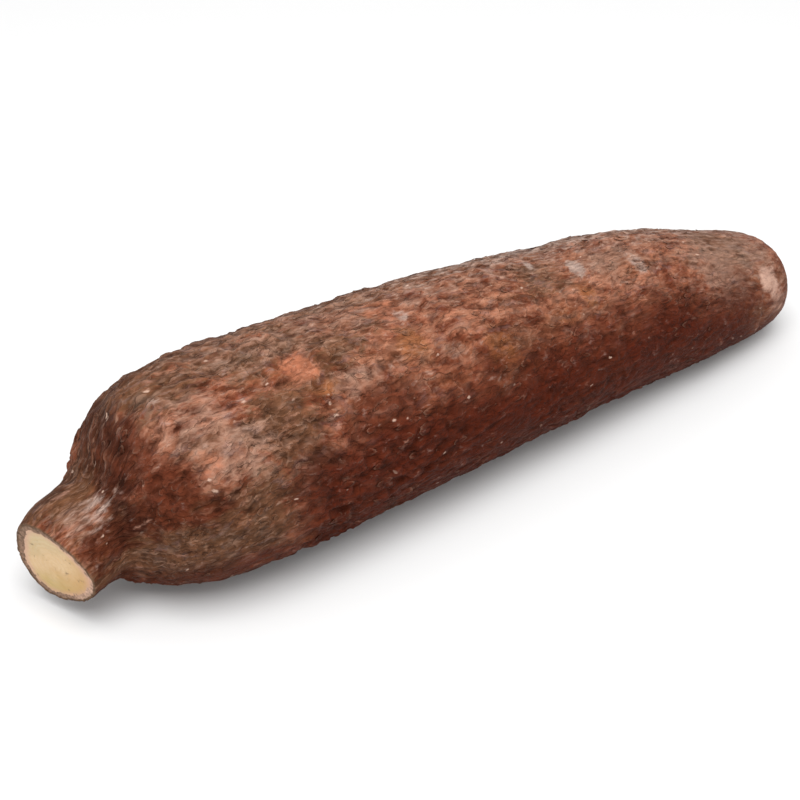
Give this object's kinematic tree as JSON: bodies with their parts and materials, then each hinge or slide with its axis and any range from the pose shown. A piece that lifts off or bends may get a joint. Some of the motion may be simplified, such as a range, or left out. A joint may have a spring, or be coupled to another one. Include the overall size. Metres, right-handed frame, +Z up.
{
  "type": "cassava root",
  "caption": "Whole unpeeled cassava root lying on its side: a tapering bark-covered body with a blunt tip and a short neck cut flat across, showing pale wood.",
  "frame": {"origin": "on the ground under the middle of the root's box", "axes": "+X along the root from the cut neck to the tip, +Z up, -Y towards the side that the cut face is turned to"},
  "size_m": [0.2794, 0.066, 0.0643],
  "materials": {
    "bark": "rough, flaking, dry brown bark with a faint waxy sheen",
    "cut_wood": "dry, matt, pale tan wood, cut across the grain"
  },
  "bodies": {
    "root": {"cassava_root": "bark"}
  },
  "joints": []
}
